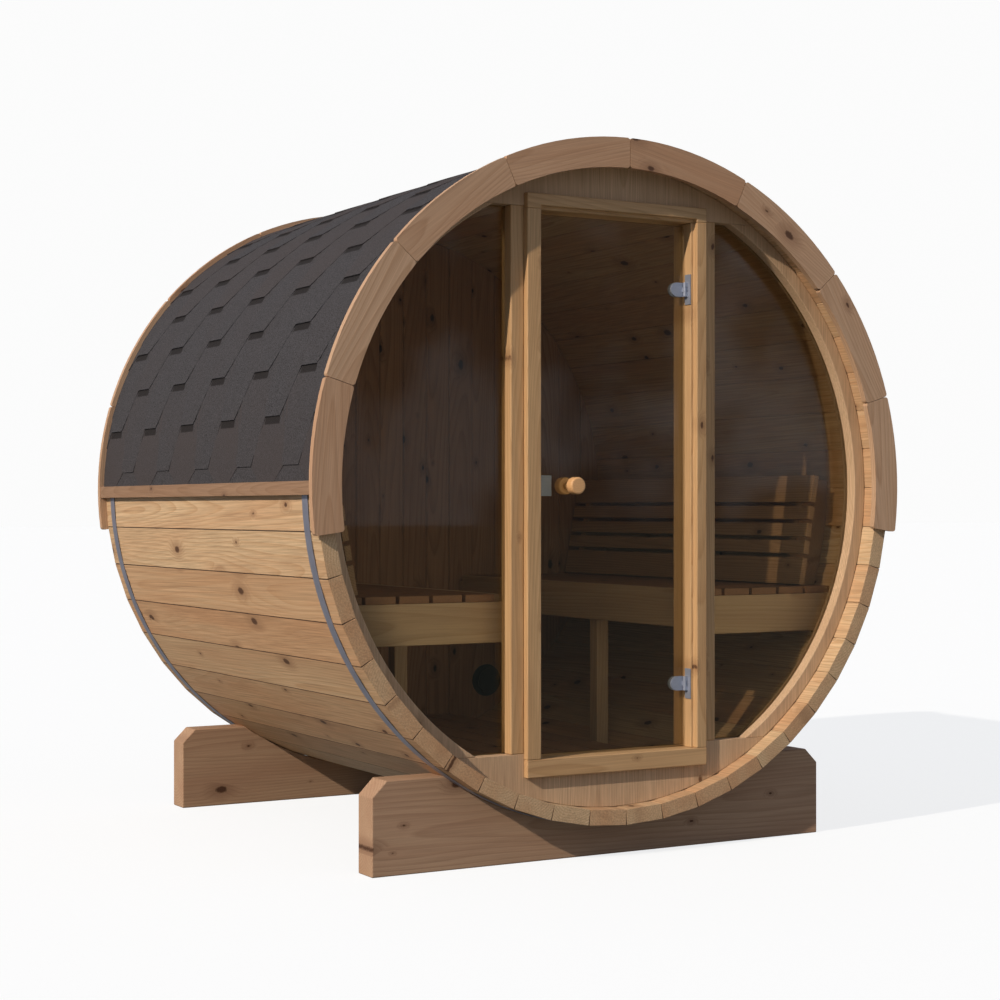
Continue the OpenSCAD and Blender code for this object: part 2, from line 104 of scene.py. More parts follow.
# low warm sun from the left, under a sky of soft light and dark patches
light = {
    "sunTurn": 16.8,         # degrees in front of the left side
    "sunRise": 31,           # degrees above the ground
    "sunPower": 3.5,
    "sunColour": (1.0, 0.82, 0.66),
    "sunWidth": 0.8,         # degrees
    "skyDark": (0.16, 0.165, 0.185, 1),
    "skyBright": (0.62, 0.64, 0.74, 1),
    "backdrop": (0.97, 0.97, 0.97, 1),
    "fillPower": 2.3,
    "fillColour": (1.0, 0.90, 0.76),
    "fillWide": 1.6,
    "fillInset": 0.11,       # from the front fascia back to the fill light
}
bpy.context.scene.view_settings.view_transform = "Standard"
world = bpy.data.worlds.new("studio")
bpy.context.scene.world = world
world.use_nodes = True
sky = world.node_tree
direction = addNode(sky, "TexCoord").outputs["Generated"]
clouds = addNode(sky, "TexNoise", {"Vector": direction, "Scale": 14, "Detail": 8}).outputs["Fac"]
patches = addNode(sky, "MapRange", {"Value": clouds, "From Min": 0.48, "From Max": 0.62})
soft = addNode(sky, "Mix", {"Factor": patches.outputs["Result"], "A": light["skyDark"],
                            "B": light["skyBright"]}, data_type="RGBA")
softLight = sky.nodes["Background"]
sky.links.new(soft.outputs["Result"], softLight.inputs["Color"])
backdrop = addNode(sky, "Background", {"Color": light["backdrop"]})
rays = addNode(sky, "LightPath")
both = addNode(sky, "MixShader", {0: rays.outputs["Is Camera Ray"], 1: softLight.outputs[0],
                                  2: backdrop.outputs[0]})
sky.links.new(both.outputs[0], sky.nodes["World Output"].inputs["Surface"])

sun = bpy.data.objects.new("sun", bpy.data.lights.new("sun", "SUN"))
sun.data.energy = light["sunPower"]
sun.data.color = light["sunColour"]
sun.data.angle = math.radians(light["sunWidth"])
turn, rise = math.radians(light["sunTurn"]), math.radians(light["sunRise"])
toSun = Vector((-math.cos(turn) * math.cos(rise), -math.sin(turn) * math.cos(rise), math.sin(rise)))
sun.rotation_euler = toSun.to_track_quat("Z", "Y").to_euler()
bpy.context.scene.collection.objects.link(sun)

# a weak soft light behind the front glass, for the daylight that many bounces bring into the cabin
fill = bpy.data.objects.new("cabinFill", bpy.data.lights.new("cabinFill", "AREA"))
fill.data.shape = "DISK"
fill.data.size = light["fillWide"]
fill.data.energy = light["fillPower"]
fill.data.color = light["fillColour"]
fill.location = (0, cadBox[0][1] + light["fillInset"], axisHeight)
fill.rotation_euler = (math.radians(90), 0, 0)
fill.visible_camera = False
fill.visible_glossy = False
bpy.context.scene.collection.objects.link(fill)

# plain pale floor, darker to the bounced light so that the underside stays in shade,
# and about as bright as the sky when mirrored, so that hardly any horizon shows in the glass
studio = {
    "size": 200,
    "glow": (0.80, 0.80, 0.80, 1),
    "pale": (0.20, 0.225, 0.245, 1),
    "bounce": (0.22, 0.22, 0.2, 1),
    "mirrored": (0.23, 0.235, 0.23, 1),
}
bpy.ops.object.select_all(action="DESELECT")
bpy.ops.mesh.primitive_plane_add(size=studio["size"])
floor = bpy.context.object
floor.name = "studioFloor"
paleFloor, tree, shader = newMaterial("paleFloor")
tree.nodes.remove(shader)
glow = addNode(tree, "Emission", {"Color": studio["glow"]})
pale = addNode(tree, "BsdfDiffuse", {"Color": studio["pale"]})
seen = addNode(tree, "AddShader", {0: glow.outputs[0], 1: pale.outputs[0]})
bounce = addNode(tree, "BsdfDiffuse", {"Color": studio["bounce"]})
mirrored = addNode(tree, "Emission", {"Color": studio["mirrored"]})
floorRays = addNode(tree, "LightPath")
unseen = addNode(tree, "MixShader", {0: floorRays.outputs["Is Glossy Ray"], 1: bounce.outputs[0],
                                     2: mirrored.outputs[0]})
whole = addNode(tree, "MixShader", {0: floorRays.outputs["Is Camera Ray"], 1: unseen.outputs[0],
                                    2: seen.outputs[0]})
tree.links.new(whole.outputs[0], tree.nodes["Material Output"].inputs["Surface"])
floor.data.materials.append(paleFloor)
print("camera, light and floor done")

# Timber, flat sawn, so growth rings show as long arches and the ends show them whole.
# Real rings are 2 to 5 mm apart, drawn at 4.5 to 8 mm so that they show.
# knots is the share of cells that have one, knotWide the greatest half width of a knot in metres.
woodFinishes = {
    # oiled spruce staves: pale straw, with soft streaks and dark knots
    "oiledStave": {"early": "#CFB896", "late": "#B3926C", "red": "#BE9874", "knot": "#5A3F2B",
                   "ring": 0.0075, "knots": 0.45, "knotWide": 0.017,
                   "streak": 0.9, "rough": 0.55, "gloss": 0.35},
    # oiled spruce fascia boards: a cooler brown, planed
    "oiledTrim": {"early": "#C7AB90", "late": "#AB8B6D", "red": "#B38E70", "knot": "#5A4030",
                  "ring": 0.0070, "knots": 0.5, "knotWide": 0.016,
                  "streak": 0.5, "rough": 0.55, "gloss": 0.35},
    # sawn pine beams: greyer and rougher, with wide rings
    "sawnCradle": {"early": "#B79D84", "late": "#9A7E67", "red": "#A3836C", "knot": "#50382A",
                   "ring": 0.0080, "knots": 0.6, "knotWide": 0.017,
                   "streak": 0.4, "rough": 0.65, "gloss": 0.25},
    # planed pine posts and door frame: yellow, smooth, many small knots
    "planedFrame": {"early": "#CBAC82", "late": "#AD8B60", "red": "#B69066", "knot": "#5C402C",
                    "ring": 0.0060, "knots": 0.8, "knotWide": 0.010,
                    "streak": 0.5, "rough": 0.5, "gloss": 0.4},
    # brushed spruce panels of the front wall: matt, with fine upright streaks
    "brushedPanel": {"early": "#CFB596", "late": "#B3987A", "red": "#BC9F80", "knot": "#6A503A",
                     "ring": 0.0045, "knots": 0.15, "knotWide": 0.012,
                     "streak": 0.7, "rough": 0.7, "gloss": 0.2},
    # heat treated spruce inside: toffee brown, nearly black knots
    "heatTreatedLining": {"early": "#A8876A", "late": "#85664C", "red": "#906E54", "knot": "#33231A",
                          "ring": 0.0070, "knots": 0.6, "knotWide": 0.015,
                          "streak": 0.5, "rough": 0.6, "gloss": 0.3},
    # aspen bench frames: pale and even
    "aspenBench": {"early": "#CBB597", "late": "#AF9678", "red": "#B3967A", "knot": "#6A4C33",
                   "ring": 0.0080, "knots": 0.2, "knotWide": 0.012,
                   "streak": 0.4, "rough": 0.5, "gloss": 0.35},
    # alder slats of the backrests: between the lining and the frames
    "slatAlder": {"early": "#B89A7A", "late": "#967A5C", "red": "#A08064", "knot": "#4A3424",
                  "ring": 0.0070, "knots": 0.3, "knotWide": 0.012,
                  "streak": 0.5, "rough": 0.55, "gloss": 0.3},
    # weathered spruce battens under the roof edge: dull brown
    "weatheredBatten": {"early": "#99806A", "late": "#846A52", "red": "#8C6E56", "knot": "#46322A",
                        "ring": 0.0060, "knots": 0.4, "knotWide": 0.010,
                        "streak": 0.5, "rough": 0.6, "gloss": 0.3},
    # turned and oiled birch: clear, warm and smooth
    "turnedBirch": {"early": "#E6BE8C", "late": "#C99A66", "red": "#D5A674", "knot": "#7A5234",
                    "ring": 0.0050, "knots": 0.0, "knotWide": 0.006,
                    "streak": 0.3, "rough": 0.4, "gloss": 0.5},
}
logPattern = {
    "knotCell": (11, 3.2, 0),        # at most one knot in 91 mm across and 312 mm along
    "knotShape": (0.09, 0.17, 0),    # back to metres across, and half that along, so knots are long
    "knotLeast": 0.004,              # half width of the smallest knot
    "knotCore": 0.7,                 # the part of a knot that is dark all over
    "knotRagged": 0.006,             # how far the edge of a knot wobbles in and out
    "raggedScale": 130,              # and it does so every 8 mm
    "haloWide": 3.2,                 # the shade about a knot, in half widths of the knot
    "haloDark": 0.6,
    "wander": (9, 1.1, 9),           # rings drift over 110 mm across and 900 mm along
    "wanderDepth": 0.045,
    "knotBend": 0.014,               # how far the rings bend about a knot
    "fibre": (240, 2.2, 240),        # fibres of 0.5 mm, drawn 4 mm wide so that they show
    "patch": (14, 1.6, 14),          # patches of colour 70 mm wide
    "patchRed": 0.5,
    "streakDark": 0.28,
    "streakPale": 0.16,
    "ringRamp": ((0.45, 0.15), (0.8, 0.5), (0.92, 0.7)),    # pale early wood to dark late wood
    # colour of the painted shade and dirt in the grooves between boards
    "seamShadeAndDirt": "#35251B",
    "relief": 0.0006,                # depth of the fibres in metres
    "reliefShows": 0.35,
}


def makeWood(name, finish):
    material, tree, shader = newMaterial(name)
    place = addNode(tree, "Attribute", attribute_name="grain").outputs["Vector"]
    tone = addNode(tree, "Attribute", attribute_name="tone").outputs["Fac"]
    seam = addNode(tree, "Attribute", attribute_name="seam").outputs["Fac"]

    # knots: round spots that run through the board, and bend the rings about them
    cells = addNode(tree, "Mapping", {"Vector": place, "Scale": logPattern["knotCell"]}).outputs[0]
    spots = addNode(tree, "TexVoronoi", {"Vector": cells, "Scale": 1, "Randomness": 1},
                    voronoi_dimensions="2D")
    offset = addNode(tree, "VectorMath", {0: cells, 1: spots.outputs["Position"]}, operation="SUBTRACT")
    metric = addNode(tree, "VectorMath", {0: offset.outputs[0], 1: logPattern["knotShape"]},
                     operation="MULTIPLY")
    distance = addNode(tree, "VectorMath", {0: metric.outputs[0]}, operation="LENGTH").outputs["Value"]
    ragged = addNode(tree, "TexNoise", {"Vector": place, "Scale": logPattern["raggedScale"],
                                        "Detail": 2}).outputs["Fac"]
    distance = addNode(tree, "Math", {0: ragged, 1: logPattern["knotRagged"], 2: distance},
                       operation="MULTIPLY_ADD").outputs[0]
    luck = addNode(tree, "SeparateColor", {0: spots.outputs["Color"]})
    present = addNode(tree, "Math", {0: luck.outputs[0], 1: 1 - finish["knots"]},
                      operation="GREATER_THAN").outputs[0]
    size = addNode(tree, "MapRange", {"Value": luck.outputs[1], "To Min": logPattern["knotLeast"],
                                      "To Max": finish["knotWide"]}).outputs[0]
    inner = addNode(tree, "Math", {0: size, 1: logPattern["knotCore"]}, operation="MULTIPLY").outputs[0]
    wide = addNode(tree, "Math", {0: size, 1: logPattern["haloWide"]}, operation="MULTIPLY").outputs[0]
    core = addNode(tree, "MapRange", {"Value": distance, "From Min": size, "From Max": inner}).outputs[0]
    core = addNode(tree, "Math", {0: core, 1: present}, operation="MULTIPLY").outputs[0]
    halo = addNode(tree, "MapRange", {"Value": distance, "From Min": wide, "From Max": inner},
                   interpolation_type="SMOOTHSTEP").outputs[0]
    halo = addNode(tree, "Math", {0: halo, 1: present}, operation="MULTIPLY").outputs[0]

    # growth rings around the heart of the log
    flat = addNode(tree, "VectorMath", {0: place, 1: (1, 0, 1)}, operation="MULTIPLY")
    radius = addNode(tree, "VectorMath", {0: flat.outputs[0]}, operation="LENGTH").outputs["Value"]
    slow = addNode(tree, "Mapping", {"Vector": place, "Scale": logPattern["wander"]}).outputs[0]
    wander = addNode(tree, "TexNoise", {"Vector": slow, "Scale": 1, "Detail": 1}).outputs["Fac"]
    radius = addNode(tree, "Math", {0: wander, 1: logPattern["wanderDepth"], 2: radius},
                     operation="MULTIPLY_ADD").outputs[0]
    radius = addNode(tree, "Math", {0: halo, 1: logPattern["knotBend"], 2: radius},
                     operation="MULTIPLY_ADD").outputs[0]
    count = addNode(tree, "Math", {0: radius, 1: 1 / finish["ring"]}, operation="MULTIPLY").outputs[0]
    phase = addNode(tree, "Math", {0: count}, operation="FRACT").outputs[0]
    rings = addNode(tree, "ValToRGB", {"Fac": phase})
    ramp = rings.color_ramp
    ramp.elements[0].color = (0.05, 0.05, 0.05, 1)
    ramp.elements[1].color = (0.1, 0.1, 0.1, 1)
    for spot, value in logPattern["ringRamp"]:
        ramp.elements.new(spot).color = (value, value, value, 1)

    # fine fibres, and slow patches of colour
    thin = addNode(tree, "Mapping", {"Vector": place, "Scale": logPattern["fibre"]}).outputs[0]
    fibre = addNode(tree, "TexNoise", {"Vector": thin, "Scale": 1, "Detail": 3,
                                       "Roughness": 0.6}).outputs["Fac"]
    broad = addNode(tree, "Mapping", {"Vector": place, "Scale": logPattern["patch"]}).outputs[0]
    patch = addNode(tree, "TexNoise", {"Vector": broad, "Scale": 1, "Detail": 2}).outputs["Fac"]
    patch = addNode(tree, "MapRange", {"Value": patch, "From Min": 0.35, "From Max": 0.7}).outputs[0]

    body = addNode(tree, "Mix", {"Factor": rings.outputs[0], "A": hexColour(finish["early"]),
                                 "B": hexColour(finish["late"])}, data_type="RGBA")
    redder = addNode(tree, "Math", {0: patch, 1: logPattern["patchRed"], 2: tone},
                     operation="MULTIPLY_ADD", use_clamp=True).outputs[0]
    body = addNode(tree, "Mix", {"Factor": redder, "A": body.outputs["Result"],
                                 "B": hexColour(finish["red"])}, data_type="RGBA")
    streak = addNode(tree, "MapRange", {"Value": fibre, "From Min": 0.3, "From Max": 0.7,
                                        "To Min": 1 - logPattern["streakDark"] * finish["streak"],
                                        "To Max": 1 + logPattern["streakPale"] * finish["streak"]}).outputs[0]
    body = addNode(tree, "VectorMath", {0: body.outputs["Result"], "Scale": streak}, operation="SCALE")
    dim = addNode(tree, "Math", {0: halo, 1: logPattern["haloDark"]}, operation="MULTIPLY").outputs[0]
    knotColour = hexColour(finish["knot"])
    haloColour = [dark * 0.5 + red * 0.5 for dark, red in zip(knotColour, hexColour(finish["red"]))]
    body = addNode(tree, "Mix", {"Factor": dim, "A": body.outputs[0], "B": haloColour}, data_type="RGBA")
    body = addNode(tree, "Mix", {"Factor": core, "A": body.outputs["Result"],
                                 "B": knotColour}, data_type="RGBA")
    # painted shade and dirt: the seam attribute darkens the grooves between boards
    body = addNode(tree, "Mix", {"Factor": seam, "A": body.outputs["Result"],
                                 "B": hexColour(logPattern["seamShadeAndDirt"])}, data_type="RGBA")
    tree.links.new(body.outputs["Result"], shader.inputs["Base Color"])

    rough = addNode(tree, "MapRange", {"Value": fibre, "To Min": finish["rough"] + 0.12,
                                       "To Max": finish["rough"] - 0.06}).outputs[0]
    tree.links.new(rough, shader.inputs["Roughness"])
    relief = addNode(tree, "Math", {0: fibre, 1: rings.outputs[0]}, operation="ADD").outputs[0]
    bump = addNode(tree, "Bump", {"Height": relief, "Strength": logPattern["reliefShows"],
                                  "Distance": logPattern["relief"]})
    tree.links.new(bump.outputs[0], shader.inputs["Normal"])
    shader.inputs["Specular IOR Level"].default_value = finish["gloss"]
    return material


wood = {name: makeWood(name, finish) for name, finish in woodFinishes.items()}

# Steel, zinc and plastic: nearly even colour, faintly clouded. Finer marks would not show.
hardFinishes = {
    # hot dipped steel strip: blue grey and half dull, clouded every 55 mm
    "galvanisedHoop": {"colour": "#A3AAC0", "cloud": "#7F869A", "rough": 0.4, "metallic": 0.6,
                       "scale": (18, 18, 18), "bump": 0.1},
    # satin plated zinc castings: pale blue grey, brushed level, with lines drawn 2.5 mm apart
    "satinZinc": {"colour": "#AEBACE", "cloud": "#929EB4", "rough": 0.34, "metallic": 0.5,
                  "scale": (60, 60, 400), "bump": 0.08},
    # moulded dark plastic: nearly black green, with its fine spark texture drawn at 7 mm
    "mouldedVent": {"colour": "#20282A", "cloud": "#2E383A", "rough": 0.45, "metallic": 0.0,
                    "scale": (150, 150, 150), "bump": 0.2},
}


def makeHard(name, finish):
    material, tree, shader = newMaterial(name)
    place = addNode(tree, "TexCoord").outputs["Object"]
    stretched = addNode(tree, "Mapping", {"Vector": place, "Scale": finish["scale"]}).outputs[0]
    cloud = addNode(tree, "TexNoise", {"Vector": stretched, "Scale": 1, "Detail": 4}).outputs["Fac"]
    colour = addNode(tree, "Mix", {"Factor": cloud, "A": hexColour(finish["colour"]),
                                   "B": hexColour(finish["cloud"])}, data_type="RGBA")
    tree.links.new(colour.outputs["Result"], shader.inputs["Base Color"])
    rough = addNode(tree, "MapRange", {"Value": cloud, "To Min": finish["rough"] - 0.08,
                                       "To Max": finish["rough"] + 0.12}).outputs[0]
    tree.links.new(rough, shader.inputs["Roughness"])
    bump = addNode(tree, "Bump", {"Height": cloud, "Strength": finish["bump"], "Distance": 0.0005})
    tree.links.new(bump.outputs[0], shader.inputs["Normal"])
    shader.inputs["Metallic"].default_value = finish["metallic"]
    return material


hard = {name: makeHard(name, finish) for name, finish in hardFinishes.items()}

# Toughened glass, lightly smoke tinted: clear from the front, a dim mirror from the side
glass = {"tint": "#FAF7F0", "tintThick": "#F5F0E4", "mirror": (0.26, 0.29, 0.29, 1), "rough": 0.02,
         "filmScale": 1.5, "frontShine": 0.04, "sideShine": 0.9, "shineCurve": 2}
smokeGlass, tree, shader = newMaterial("smokeGlass")
tree.nodes.remove(shader)
place = addNode(tree, "TexCoord").outputs["Object"]
film = addNode(tree, "TexNoise", {"Vector": place, "Scale": glass["filmScale"], "Detail": 2}).outputs["Fac"]
tint = addNode(tree, "Mix", {"Factor": film, "A": hexColour(glass["tint"]),
                             "B": hexColour(glass["tintThick"])}, data_type="RGBA")
clear = addNode(tree, "BsdfTransparent", {"Color": tint.outputs["Result"]})
mirror = addNode(tree, "BsdfAnisotropic", {"Color": glass["mirror"], "Roughness": glass["rough"]})
facing = addNode(tree, "LayerWeight", {"Blend": 0.5}).outputs["Facing"]
steep = addNode(tree, "Math", {0: facing, 1: glass["shineCurve"]}, operation="POWER").outputs[0]
shine = addNode(tree, "Math", {0: steep, 1: glass["sideShine"], 2: glass["frontShine"]},
                operation="MULTIPLY_ADD").outputs[0]
pane = addNode(tree, "MixShader", {0: shine, 1: clear.outputs[0], 2: mirror.outputs[0]})
tree.links.new(pane.outputs[0], tree.nodes["Material Output"].inputs["Surface"])

# Bitumen shingles: mineral granules of 1 to 1.5 mm, drawn at 4 mm, and a dark band under each tab
shingle = {
    "pitch": 0.333, "flat": 0.105, "exposure": 0.1399,      # a tab, its straight foot, a course
    "first": 0.045, "phase": -0.711,                        # the lowest tabs: height and place
    "lap": 0.05, "thick": 0.0020, "rows": 4, "tabs": 8,     # tabs each way from the middle one
    "rise": 0.0078, "leastRise": 0.0008,                    # height of the foot and of the tucked end
    "leastLong": 0.01, "leastWide": 0.004,                  # least length of a tab, and width at an end
    "grit": 260, "stain": 5, "wear": 0.6, "rough": 0.92, "gloss": 0.25,
    "dark": "#2B2D31", "pale": "#4C4E55", "worn": "#433F41", "band": "#1B1A1C",
    "bandHigh": 0.024, "bandBlur": 0.003, "bandSide": 0.004, "bandDepth": 0.85,
}
mineralShingle, tree, shader = newMaterial("mineralShingle")
strip = addNode(tree, "Attribute", attribute_name="strip").outputs["Vector"]
tone = addNode(tree, "Attribute", attribute_name="tone").outputs["Fac"]
place = addNode(tree, "TexCoord").outputs["Object"]
grit = addNode(tree, "TexNoise", {"Vector": place, "Scale": shingle["grit"], "Detail": 2,
                                  "Roughness": 0.7}).outputs["Fac"]
grit = addNode(tree, "MapRange", {"Value": grit, "From Min": 0.35, "From Max": 0.65}).outputs[0]
stain = addNode(tree, "TexNoise", {"Vector": place, "Scale": shingle["stain"], "Detail": 4}).outputs["Fac"]
colour = addNode(tree, "Mix", {"Factor": grit, "A": hexColour(shingle["dark"]),
                               "B": hexColour(shingle["pale"])}, data_type="RGBA")
worn = addNode(tree, "Math", {0: stain, 1: shingle["wear"], 2: tone}, operation="MULTIPLY_ADD",
               use_clamp=True).outputs[0]
colour = addNode(tree, "Mix", {"Factor": worn, "A": colour.outputs["Result"],
                               "B": hexColour(shingle["worn"])}, data_type="RGBA")
axes = addNode(tree, "SeparateXYZ", {0: strip})
bandFoot = 2 * shingle["exposure"] - shingle["bandHigh"]
above = addNode(tree, "MapRange", {"Value": axes.outputs[0], "From Min": bandFoot,
                                   "From Max": bandFoot + shingle["bandBlur"]}).outputs[0]
beside = addNode(tree, "Math", {0: axes.outputs[1], 1: shingle["pitch"] / 2},
                 operation="PINGPONG").outputs[0]
beside = addNode(tree, "MapRange", {"Value": beside,
                                    "From Min": shingle["flat"] / 2 + shingle["bandSide"],
                                    "From Max": shingle["flat"] / 2 - shingle["bandSide"]}).outputs[0]
band = addNode(tree, "Math", {0: above, 1: beside}, operation="MULTIPLY").outputs[0]
band = addNode(tree, "Math", {0: band, 1: shingle["bandDepth"]}, operation="MULTIPLY").outputs[0]
colour = addNode(tree, "Mix", {"Factor": band, "A": colour.outputs["Result"],
                               "B": hexColour(shingle["band"])}, data_type="RGBA")
tree.links.new(colour.outputs["Result"], shader.inputs["Base Color"])
shader.inputs["Roughness"].default_value = shingle["rough"]
shader.inputs["Specular IOR Level"].default_value = shingle["gloss"]
bump = addNode(tree, "Bump", {"Height": grit, "Strength": 0.6, "Distance": 0.001})
tree.links.new(bump.outputs[0], shader.inputs["Normal"])
print("materials done")


# makes the pieces the only selected ones
def pick(*pieces):
    if bpy.context.mode != "OBJECT":
        bpy.ops.object.mode_set(mode="OBJECT")
    bpy.ops.object.select_all(action="DESELECT")
    for piece in pieces:
        piece.select_set(True)
    bpy.context.view_layer.objects.active = pieces[0]


def applyModifier(piece, kind, **settings):
    pick(piece)
    modifier = piece.modifiers.new(kind.lower(), kind)
    for name, value in settings.items():
        setattr(modifier, name, value)
    bpy.ops.object.modifier_apply(modifier=modifier.name)


def roundEdges(piece, edge, segments=2, sharp=35):
    if edge:
        applyModifier(piece, "BEVEL", width=edge, segments=segments, limit_method="ANGLE",
                      angle_limit=math.radians(sharp))
    pick(piece)
    bpy.ops.object.shade_smooth_by_angle(angle=math.radians(sharp))
    if edge:                                # keeps the wide faces flat beside the rounding
        applyModifier(piece, "WEIGHTED_NORMAL", keep_sharp=True)


# a merged copy of a CAD node, with rounded edges
def copyNode(node, edge=0.0, segments=2, sharp=35):
    piece = nodes[node].copy()
    piece.data = nodes[node].data.copy()
    for key in list(piece.keys()):
        del piece[key]
    piece.parent = None
    bpy.context.scene.collection.objects.link(piece)
    pick(piece)
    bpy.ops.mesh.customdata_custom_splitnormals_clear()
    bpy.ops.object.mode_set(mode="EDIT")
    bpy.ops.mesh.select_all(action="SELECT")
    bpy.ops.mesh.remove_doubles(threshold=0.00001)
    bpy.ops.mesh.dissolve_limited(angle_limit=math.radians(0.3))
    bpy.ops.mesh.normals_make_consistent(inside=False)
    bpy.ops.object.mode_set(mode="OBJECT")
    roundEdges(piece, edge, segments, sharp)
    return piece


def copyPiece(piece):
    twin = piece.copy()
    twin.data = piece.data.copy()
    bpy.context.scene.collection.objects.link(twin)
    return twin


def looseParts(piece):
    pick(piece)
    bpy.ops.mesh.separate(type="LOOSE")
    return list(bpy.context.selected_objects)


def joinPieces(pieces):
    pick(*pieces)
    if len(pieces) > 1:
        bpy.ops.object.join()
    return bpy.context.view_layer.objects.active


def setAttribute(piece, name, kind, values):
    layer = piece.data.attributes.get(name) or piece.data.attributes.new(name, kind, "POINT")
    layer.data.foreach_set("vector" if kind == "FLOAT_VECTOR" else "value", values)


def middleOf(piece):
    points = [vertex.co for vertex in piece.data.vertices]
    return sum(points, Vector()) / len(points)


# lays a board in its log: the grain runs along one way, the wide face looks another way
def layGrain(piece, along, face, seed, tone=None):
    dice = random.Random(seed)
    along, face = Vector(along).normalized(), Vector(face).normalized()
    across = along.cross(face)
    centre = middleOf(piece)
    heart = Vector((dice.uniform(-0.06, 0.06), dice.uniform(0, 40), dice.uniform(0.03, 0.11)))
    lean = dice.uniform(-0.03, 0.03), dice.uniform(-0.035, 0.035)
    values = []
    for vertex in piece.data.vertices:
        arm = vertex.co - centre
        far = arm.dot(along)
        values += [arm.dot(across) + lean[0] * far + heart.x, far + heart.y,
                   arm.dot(face) + lean[1] * far + heart.z]
    shade = dice.uniform(-0.25, 0.6) if tone is None else tone
    setAttribute(piece, "grain", "FLOAT_VECTOR", values)
    setAttribute(piece, "tone", "FLOAT", [shade] * len(piece.data.vertices))


# names a finished piece, gives it its material and its place in the frame
def settle(piece, name, node, material):
    piece.name = name
    piece.data.name = name
    piece.data.materials.clear()
    piece.data.materials.append(material)
    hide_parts(node)
    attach(piece, bodyOf[node])


def aroundBarrel(angle):
    centre = Matrix.Translation((0, 0, axisHeight))
    return centre @ Matrix.Rotation(angle, 4, "Y") @ centre.inverted()


# 48 staves, six to a CAD segment: one is shaped at the top, and its copies are turned about the axis
stave = {"count": 48, "radius": 0.985, "thick": 0.046, "gap": 0.0008, "edge": 0.0020,
         "seamDepth": 0.9, "seed": 11}
segmentNames = ("top", "top_right", "right", "bottom_right", "bottom", "bottom_left", "left", "top_left")
staveLow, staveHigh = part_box("staves_top")
staveAngle = 2 * math.pi / stave["count"]
outerFace = stave["radius"] * math.cos(staveAngle / 2)
innerFace = outerFace - stave["thick"]
outerWide = 2 * outerFace * math.tan(staveAngle / 2) - stave["gap"]
bpy.ops.object.select_all(action="DESELECT")
bpy.ops.mesh.primitive_cube_add(
    size=1, location=(0, (staveLow.y + staveHigh.y) / 2, axisHeight + (outerFace + innerFace) / 2),
    scale=(outerWide, staveHigh.y - staveLow.y, stave["thick"]))
firstStave = bpy.context.object
bpy.ops.object.transform_apply(location=True, rotation=True, scale=True)
bpy.context.tool_settings.mesh_select_mode = (False, False, True)
bpy.ops.object.mode_set(mode="EDIT")
bpy.ops.mesh.select_all(action="DESELECT")
bpy.ops.object.mode_set(mode="OBJECT")
for face in firstStave.data.polygons:
    face.select = face.normal.z < -0.9
bpy.ops.object.mode_set(mode="EDIT")
bpy.ops.transform.resize(value=(innerFace / outerFace, 1, 1))
bpy.ops.object.mode_set(mode="OBJECT")
roundEdges(firstStave, stave["edge"], 2)
# painted shade and dirt darken the grooves between the staves
seamFrom = outerWide / 2 - stave["edge"] * 0.6
setAttribute(firstStave, "seam", "FLOAT", [stave["seamDepth"] if abs(vertex.co.x) > seamFrom else 0
                                           for vertex in firstStave.data.vertices])
perSegment = stave["count"] // len(segmentNames)
for i, segment in enumerate(segmentNames):
    group = []
    for j in range(perSegment):
        angle = (i * perSegment + j - (perSegment - 1) / 2) * staveAngle
        board = copyPiece(firstStave)
        board.data.transform(aroundBarrel(angle))
        layGrain(board, (0, 1, 0), (math.sin(angle), 0, math.cos(angle)), stave["seed"] * 100 + i * 10 + j)
        group.append(board)
    words = segment.title().replace("_", "")
    settle(joinPieces(group), "staves" + words, "staves_" + segment, wood["oiledStave"])
bpy.data.objects.remove(firstStave)
print("staves done")

# cradles and hoops
cradle = {"edge": 0.004, "seeds": {"front": 21, "rear": 22}, "tone": 0.1}
hoop = {"edge": 0.0004, "sharp": 50}
for end in ("front", "rear"):
    piece = copyNode("cradle_" + end, cradle["edge"], 3)
    layGrain(piece, (1, 0, 0), (0, -1, 0), cradle["seeds"][end], cradle["tone"])
    settle(piece, "cradle" + end.title(), "cradle_" + end, wood["sawnCradle"])
    strap = copyNode("hoop_" + end, hoop["edge"], 1, hoop["sharp"])
    settle(strap, "hoop" + end.title(), "hoop_" + end, hard["galvanisedHoop"])

# fascia rings: eight boards each, with the grain along each board
fascia = {"edge": 0.009, "seed": 31}


def middleX(board):
    return sum(vertex.co.x for vertex in board.data.vertices) / len(board.data.vertices)


for end, out in (("front", -1), ("rear", 1)):
    boards = looseParts(copyNode("fascia_" + end, fascia["edge"], 3))
    for i, board in enumerate(sorted(boards, key=middleX)):
        middle = middleOf(board)
        outwards = Vector((middle.x, 0, middle.z - axisHeight)).normalized()
        layGrain(board, outwards.cross((0, 1, 0)), (0, out, 0), fascia["seed"] * 10 + i + out * 4)
    settle(joinPieces(boards), "fascia" + end.title(), "fascia_" + end, wood["oiledTrim"])
print("cradles, hoops and fascias done")


# rolls a flat strip onto the barrel: x runs up from the roof's foot, z is the height over the staves
def wrapOnBarrel(piece, side, eaveAngle, deck):
    for vertex in piece.data.vertices:      # bend needs a window, so the points are moved here
        angle = eaveAngle - vertex.co.x / deck
        radius = deck + vertex.co.z
        vertex.co = (side * radius * math.sin(angle), vertex.co.y, axisHeight + radius * math.cos(angle))


